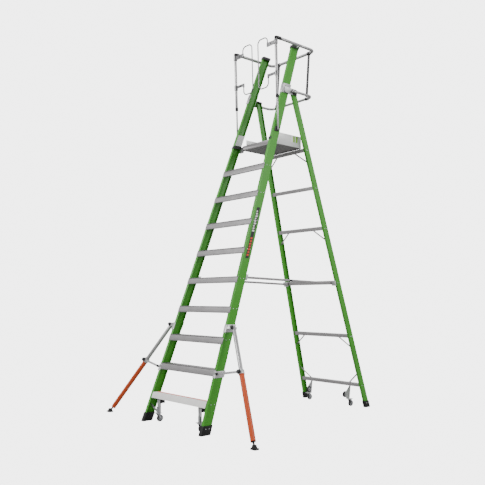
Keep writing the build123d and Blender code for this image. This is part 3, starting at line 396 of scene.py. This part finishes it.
def domes(node, name):
    """Spin a dome on each flat head of a CAD rivet node."""
    source = bmesh.new()
    source.from_mesh(frame["nodes"][node].data)
    bmesh.ops.remove_doubles(source, verts=source.verts, dist=0.01 * MM)
    seen = set()
    mesh = bmesh.new()
    for start in source.verts:
        if start.index in seen:
            continue
        group, queue = [], [start]
        seen.add(start.index)
        while queue:
            vertex = queue.pop()
            group.append(vertex.co.copy())
            for edge in vertex.link_edges:
                other = edge.other_vert(vertex)
                if other.index not in seen:
                    seen.add(other.index)
                    queue.append(other)
        low = Vector([min(c[i] for c in group) for i in range(3)])
        high = Vector([max(c[i] for c in group) for i in range(3)])
        centre = (low + high) / 2
        side = 1 if centre.x > 0 else -1
        radius = (high.y - low.y) / 2
        turn = Vector((side, 0, 0.06)).to_track_quat("Z", "Y").to_matrix().to_4x4()
        seat = Matrix.Translation(centre - Vector((side * 1.2 * MM, 0, 0))) @ turn
        ball = bmesh.ops.create_uvsphere(mesh, u_segments=RIVET_SEGMENTS, v_segments=8, radius=radius,
                                         matrix=seat @ Matrix.Diagonal((1, 1, RIVET_FLATNESS, 1)))["verts"]
        edges = list({edge for vertex in ball for edge in vertex.link_edges})
        faces = list({face for vertex in ball for face in vertex.link_faces})
        cut = bmesh.ops.bisect_plane(mesh, geom=ball + edges + faces, plane_co=seat.translation,
                                     plane_no=turn @ Vector((0, 0, 1)), clear_inner=True)
        rim = [e for e in cut["geom_cut"] if isinstance(e, bmesh.types.BMEdge)]
        bmesh.ops.edgeloop_fill(mesh, edges=rim)
    source.free()
    piece = keep(mesh, name, zinc)
    piece.data.shade_smooth()
    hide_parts(node)
    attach(piece, body_of(node))


domes("front_rivets", "front_rivet_domes")
domes("rear_rivets", "rear_rivet_domes")

# ------------------------------------------------------------ castings, lugs and clamps
# Cast aluminium, shot-blasted and bright, with through bolts.
cast = extruded("cast_aluminium", "#d2d2d2", "#b6b7b8", 0.45, (0.4, 0.4, 0.4), 0.75)
for node in ("hinge_castings", "frame_brackets", "outrigger_collars", "front_caster_braces", "rear_brackets"):
    dress(node, cast, 1.2 * MM)
dress("pivot_pins", zinc, 0.6 * MM)
dress("post_foot_brackets", plastic, 1.0 * MM)

CASTING_OUT = 7 * MM         # the castings' outer face, out of the rail's web
CASTING_BOLTS = ((3.590, 0.025), (3.645, 0.030), (3.645, 0.080))    # height, and back from the rail's face
CLAMP_BOLTS = (0.022, 0.084)
for name, side in (("left", -1), ("right", 1)):
    for number, (z, back) in enumerate(CASTING_BOLTS):
        spot = rail_matrix(front_rail, side, z) @ Vector((CASTING_OUT, back, 0))
        bolt(spot, (side, 0, front_rail["taper"]), 7 * MM, 6 * MM, f"casting_bolt_{name}_{number}", zinc,
             "front_frame")
    for height, z in (("upper", 1.002), ("lower", 0.562)):
        for number, back in enumerate(CLAMP_BOLTS):
            spot = rail_matrix(front_rail, side, z) @ Vector((CASTING_OUT, back, 0))
            bolt(spot, (side, 0, front_rail["taper"]), 6 * MM, 6 * MM, f"clamp_bolt_{height}_{name}_{number}",
                 zinc, "front_frame")

# Black covers close the rear frame's hinges outside the ears. Pale stiffeners close the front
# rails' channels beside the platform, over a black band.
BAND = (3.016, 3.046)        # heights of the black band
for name, side in (("left", -1), ("right", 1)):
    x = sorted((side * 0.3102, side * 0.3142))
    cover = plate(Vector((x[0], 0.160, 3.560)), Vector((x[1], 0.228, 3.622)), f"hinge_cover_{name}", plastic,
                  1.2 * MM)
    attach(cover, "front_frame")
    rail_slab(front_rail, side, 3.052, 3.176, (-0.0405, -0.0365), (0.004, 0.098), f"channel_stiffener_{name}",
              cast, "front_frame", "cast_aluminium")
    for face, out, back in (("", (-0.0415, -0.0365), (-0.002, 0.104)),
                            ("front_", (-0.0415, 0.002), (-0.0035, -0.0005))):
        rail_slab(front_rail, side, *BAND, out, back, f"channel_band_{face}{name}", plastic, "front_frame",
                  "black_plastic")

# ------------------------------------------------------------ label on the right rail
# A printed film strip on the outer web. Only plain blocks of colour stand for its print.
film_black = coated("label_black", "#161616", 0.35, 1 * MM, 0.05)
film_white = coated("label_white", "#efefec", 0.35, 1 * MM, 0.05)
film_orange = coated("label_orange", "#d84a1e", 0.35, 1 * MM, 0.05)
FILM = 0.25 * MM
rail_slab(front_rail, 1, 1.71, 2.25, (0, FILM), (0.030, 0.074), "label_film", film_black, "front_frame",
          "fibreglass", 0.05 * MM)
for number in range(9):
    low = 1.99 + number * 0.026
    rail_slab(front_rail, 1, low, low + 0.017, (FILM, 2 * FILM), (0.037, 0.067 - 0.006 * (number % 3)),
              f"label_white_block_{number}", film_white, "front_frame", "fibreglass", 0.05 * MM)
for number in range(7):
    low = 1.735 + number * 0.029
    rail_slab(front_rail, 1, low, low + 0.019, (FILM, 2 * FILM), (0.038 + 0.004 * (number % 2), 0.066),
              f"label_orange_block_{number}", film_orange, "front_frame", "fibreglass", 0.05 * MM)

# ------------------------------------------------------------ rear bars
# Extruded aluminium box bars with gusset braces, duller than the treads.
bar_metal = extruded("rear_bar_aluminium", "#b4b1b2", "#9c999a", 0.45, metallic=0.5)
dress("rear_braces", bar_metal, 0.8 * MM)

# ------------------------------------------------------------ platform
# A ribbed dark grey aluminium deck inside satin toe boards. The right board carries a green patch.
deck_metal = extruded("deck_aluminium", "#9a9798", "#7f7c7d", 0.5, metallic=0.5)
dress("platform_deck", deck_metal, 0.5 * MM)
toe_metal = extruded("toe_board_aluminium", "#e9e9e8", "#d6d7d8", 0.36, (1.0, 0.02, 1.0), 0.35)
for node in ("toe_board_left", "toe_board_right", "toe_board_rear"):
    dress(node, toe_metal, 0.6 * MM)
patch_green = coated("patch_green", "#7fb23c", 0.4, 1 * MM, 0.05)
toe_low, toe_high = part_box("toe_board_right")
for number, (start, end, paint) in enumerate(((0.215, 0.245, film_white), (0.245, 0.275, patch_green),
                                              (0.290, 0.318, patch_green), (0.318, 0.330, film_white))):
    for face, x in (("in", toe_low.x - FILM), ("out", toe_high.x)):
        patch = plate(Vector((x, toe_low.y + start, toe_low.z + 0.05)),
                      Vector((x + FILM, toe_low.y + end, toe_high.z - 0.008)), f"toe_patch_{face}_{number}", paint,
                      0.05 * MM)
        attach(patch, "platform")
deck_low, deck_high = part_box("platform_deck")
PLANKS = 9
PLANK_EDGE = 7 * MM          # from the planks to the deck's edge
PLANK_GAP = 3 * MM           # on each side of a plank
plank_run = (deck_high.y - deck_low.y - 2 * PLANK_EDGE) / PLANKS
for number in range(PLANKS):
    y = deck_low.y + PLANK_EDGE + number * plank_run
    plank = plate(Vector((deck_low.x + PLANK_EDGE, y + PLANK_GAP, deck_low.z + 3 * MM)),
                  Vector((deck_high.x - PLANK_EDGE, y + plank_run - PLANK_GAP, deck_low.z + 7 * MM)),
                  f"deck_plank_{number}", deck_metal, 1.0 * MM)
    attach(plank, "platform")
for number, y in enumerate((deck_low.y + 0.004, deck_high.y - 0.020)):
    trim = plate(Vector((deck_low.x + 0.006, y, deck_high.z - 0.001)),
                 Vector((deck_high.x - 0.006, y + 0.014, deck_high.z + 0.0015)), f"deck_edge_trim_{number}",
                 tread_metal, 0.5 * MM)
    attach(trim, "platform")

# ------------------------------------------------------------ spreaders
# Flat zinc-plated bars. A black knuckle with a dome nut joins each pair.
dark_steel = extruded("spreader_steel", "#aeabac", "#949192", 0.4, (1.0, 0.02, 1.0), 0.5)
for end in ("front", "rear"):
    for side in ("left", "right"):
        dress(f"spreader_{end}_{side}", dark_steel, 0.8 * MM)
BAR_HALF = 12.5 * MM         # half a bar's width
GRIP = (0.3793, 0.3813)      # the grip's faces, from the middle
for name, side in (("left", -1), ("right", 1)):
    low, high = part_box(f"spreader_front_{name}")
    knuckle = Vector((side * GRIP[1], high.y - BAR_HALF, low.z + BAR_HALF))
    x = sorted(side * face for face in GRIP)
    grip = plate(Vector((x[0], knuckle.y - 0.045, knuckle.z - 0.012)),
                 Vector((x[1], knuckle.y + 0.010, knuckle.z + 0.012)), f"knuckle_grip_{name}", plastic, 0.8 * MM)
    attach(grip, f"spreader_front_{name}")
    bolt(knuckle, (side, 0, 0), 6 * MM, 5 * MM, f"knuckle_nut_{name}", zinc, f"spreader_front_{name}",
         18)

# ------------------------------------------------------------ guard rails and struts
# Drawn aluminium tube, satin anodised, bent round the platform. Black moulded fittings close the top
# rail's ends, and flat black struts hang from its rear bar.
tube_metal = extruded("tube_aluminium", "#bcbbbc", "#a09fa0", 0.36, (0.4, 0.4, 0.4), 0.7)
dress("top_guard_rail", tube_metal, 0.3 * MM)
dress("mid_guard_rail", tube_metal, 0.3 * MM)
dress("top_rail_fittings", plastic, 1.2 * MM)
for side in ("left", "right"):
    dress(f"cage_strut_{side}", plastic, 1.0 * MM)

# ------------------------------------------------------------ posts and gates
# Telescoping posts: a wide satin tube over a thin one, with black clevis and collar. Chromed wire
# gates swing on double brackets clamped to the posts.
chrome = extruded("gate_wire_steel", "#7d7d7e", "#666667", 0.3, (0.3, 0.3, 0.3), 0.9)
for side in ("left", "right"):
    dress(f"post_tube_{side}", tube_metal, 0.3 * MM)
    dress(f"post_slider_{side}", tube_metal, 0.3 * MM)
    dress(f"gate_{side}", chrome, 0.2 * MM)
    dress(f"post_fittings_{side}", plastic, 0.8 * MM, chrome, lambda c: 3.60 < c.z < 4.071 or (
        c.z < 4.1 and abs(c.x) < 0.317))

# A deep plate, a wide clamp band and a screw on each gate bracket. The band is an open sleeve, because
# the thin tube slides up through it. Places are along the post, down from its top pivot.
POST_SIDE = 0.336
GATE_SIDE = 0.205
BRACKET_HALF = 4.5 * MM
BRACKET_HEIGHT = 44 * MM
post_up = Vector((0, -35, 980)).normalized()
post_frame = Matrix(((1, 0, 0, 0), (0, post_up.z, post_up.y, -0.124), (0, -post_up.y, post_up.z, 4.120),
                     (0, 0, 0, 1)))


def ring(name, start, end, radius, material, slot, body, segments=32, wall=None):
    """A short cylinder between two points, with softened rims. A wall makes it an open sleeve."""
    mesh = bmesh.new()
    run = end - start
    seat = Matrix.Translation((start + end) / 2) @ run.to_track_quat("Z", "Y").to_matrix().to_4x4()
    bmesh.ops.create_cone(mesh, cap_ends=wall is None, segments=segments, radius1=radius, radius2=radius,
                          depth=run.length, matrix=seat)
    piece = keep(mesh, name, material)
    if wall:
        shell = piece.modifiers.new("wall", "SOLIDIFY")
        shell.thickness = wall
        shell.offset = -1
    round_edges(piece, 0.8 * MM)
    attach(piece, body)
    return piece


for name, side in (("left", -1), ("right", 1)):
    for level, low in (("upper", -0.070), ("lower", -0.410)):
        x = sorted((side * 0.211, side * 0.322))
        foot = low if level == "upper" else low + 14 * MM       # the lower one clears the folded toe boards
        bracket = plate(Vector((x[0], -BRACKET_HALF, foot)), Vector((x[1], BRACKET_HALF, low + BRACKET_HEIGHT)),
                        f"gate_bracket_{level}_{name}", chrome, 1.5 * MM, post_frame)
        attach(bracket, f"post_{name}")
        band = [post_frame @ Vector((side * POST_SIDE, 0, z)) for z in (low - 4 * MM, low + BRACKET_HEIGHT + 4 * MM)]
        ring(f"gate_clamp_{level}_{name}", *band, 20.5 * MM, chrome, "cast_aluminium", f"post_{name}",
             wall=6 * MM)
        hub = [post_frame @ Vector((side * GATE_SIDE, 0, z)) for z in (low + 2 * MM, low + BRACKET_HEIGHT - 2 * MM)]
        ring(f"gate_hub_{level}_{name}", *hub, 11.5 * MM, chrome, "cast_aluminium", f"post_{name}")
        screw = post_frame @ Vector((side * 0.262, -BRACKET_HALF, low + BRACKET_HEIGHT / 2))
        bolt(screw, (0, -1, 0), 6 * MM, 4 * MM, f"gate_screw_{level}_{name}", plastic, f"post_{name}")

# Black clips hold the struts' feet on the middle rail.
for name, side in (("left", -1), ("right", 1)):
    ends = [Vector((side * x, 0.458, 3.590)) for x in (0.226, 0.261)]
    ring(f"strut_clip_{name}", *ends, 19 * MM, plastic, "black_plastic", "mid_rail")

# ------------------------------------------------------------ outriggers
# A satin inner tube slides in an orange powder-coated leg. A black knob locks it, and a silver brace
# ties the leg's collar to the lower clamp. Black rubber ball feet.
orange = coated("orange_powder_coat", "#c9490c", 0.42, 0.7 * MM, 0.3)
for side in ("left", "right"):
    dress(f"outrigger_tube_{side}", tube_metal, 0.3 * MM)
    dress(f"outrigger_leg_{side}", orange, 0.6 * MM, cast, lambda c: c.z > 0.588)
    dress(f"outrigger_brace_{side}", tube_metal, 0.8 * MM)
    dress(f"outrigger_foot_{side}", rubber, 1.5 * MM)

# Knobs stand on the leg's pivot, on the joint collar and on the brace's foot.
lean_angle = math.atan(front_rail["lean"])
forward = Vector((0, -math.cos(lean_angle), math.sin(lean_angle)))
upward = Vector((0, math.sin(lean_angle), math.cos(lean_angle)))
LEG_BACK = 26 * MM           # the legs' plane, behind the rails' faces


def leg_point(x, z, out):
    """Point in the outriggers' plane at a height, moved out of it to the front."""
    rise = (z + LEG_BACK * math.sin(lean_angle)) / math.cos(lean_angle)
    return Vector((x, front_rail["face"], 0)) - forward * (LEG_BACK - out) + upward * rise


for name, side in (("left", -1), ("right", 1)):
    for place, x, z, out, radius, body in (
            ("pivot", 0.530, 1.010, 0.0256, 16 * MM, "front_frame"),
            ("joint", 0.8106, 0.608, 0.0355, 18 * MM, f"outrigger_leg_{name}"),
            ("brace", 0.506, 0.560, 0.0355, 12 * MM, "front_frame")):
        bolt(leg_point(side * x, z, out), forward, radius, radius, f"outrigger_knob_{place}_{name}", plastic,
             body, 10)

# ------------------------------------------------------------ casters
# Zinc-plated swivel forks under pressed plates. Grey moulded wheels with a dark rubber tread, a
# recessed web and a raised hub.
wheel_grey = coated("wheel_grey", "#a2a4a6", 0.4, 0.8 * MM, 0.2)
tyre_rubber = coated("tyre_rubber", "#1d1d1e", 0.6, 0.8 * MM, 0.4)
for end in ("front", "rear"):
    for side in ("left", "right"):
        dress(f"{end}_caster_fork_{side}", zinc, 0.6 * MM)


# Each front caster hangs from a round pedestal under a black block on the bottom step.
for name, side in (("left", -1), ("right", 1)):
    foot = Vector((side * 0.360, -1.170, 0.0972))
    ring(f"caster_pedestal_{name}", foot, foot + Vector((0, 0, 0.062)), 17 * MM, zinc, "zinc_steel",
         "front_frame")
    x = sorted((side * 0.322, side * 0.392))
    head = plate(Vector((x[0], -1.163, 0.198)), Vector((x[1], -1.108, 0.2395)), f"caster_head_{name}", plastic,
                 2 * MM)
    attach(head, "front_frame")
    x = sorted((side * 0.356, side * 0.382))
    web = plate(Vector((x[0], -1.166, 0.097)), Vector((x[1], -1.160, 0.235)), f"caster_web_{name}", cast,
                1 * MM)
    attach(web, "front_frame")


def spun(name, profile, centre, material, segments=48):
    """Spin a closed outline of (distance along the axle, radius) about an axle along X."""
    mesh = bmesh.new()
    outline = [mesh.verts.new(centre + Vector((a, 0, r))) for a, r in profile]
    edges = [mesh.edges.new((outline[i - 1], outline[i])) for i in range(1, len(outline))]
    edges.append(mesh.edges.new((outline[-1], outline[0])))
    bmesh.ops.spin(mesh, geom=outline + edges, cent=centre, axis=(1, 0, 0), angle=2 * math.pi, steps=segments,
                   use_merge=True)
    bmesh.ops.remove_doubles(mesh, verts=mesh.verts, dist=0.01 * MM)
    piece = keep(mesh, name, material)
    piece.data.shade_smooth()
    return round_edges(piece, 0.5 * MM, 1)


for node in [n for n in frame["nodes"] if n.startswith(("front_wheel", "rear_wheel", "rear_upper_wheel"))]:
    low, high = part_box(node)
    centre = (low + high) / 2
    radius = (high.z - low.z) / 2
    half = (high.x - low.x) / 2
    crown = radius * 0.74
    flank = half * 0.92
    tyre = spun(f"{node}.tyre", [(-flank, crown - 3 * MM), (-flank, radius - 4 * MM),
                                 (-half * 0.6, radius - 1 * MM), (0, radius), (half * 0.6, radius - 1 * MM),
                                 (flank, radius - 4 * MM), (flank, crown - 3 * MM)], centre, tyre_rubber)
    web = half * 0.45
    hub = spun(f"{node}.hub", [(-half, 6 * MM), (-half, 12 * MM), (-web, 14 * MM), (-web, crown - 9 * MM),
                               (-half * 0.85, crown - 6 * MM), (-half * 0.85, crown - 2.5 * MM),
                               (half * 0.85, crown - 2.5 * MM), (half * 0.85, crown - 6 * MM),
                               (web, crown - 9 * MM), (web, 14 * MM), (half, 12 * MM), (half, 6 * MM)],
               centre, wheel_grey)
    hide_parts(node)
    for piece in (tyre, hub):
        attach(piece, body_of(node))
    carrier = "rear_frame" if "upper" in node else body_of(node).replace("wheel", "caster_fork")
    for name, side in (("left", -1), ("right", 1)):
        bolt(centre + Vector((side * (half + 4.6 * MM), 0, 0)), (side, 0, 0), 6 * MM, 4 * MM,
             f"{node}.axle_nut_{name}", zinc, carrier)
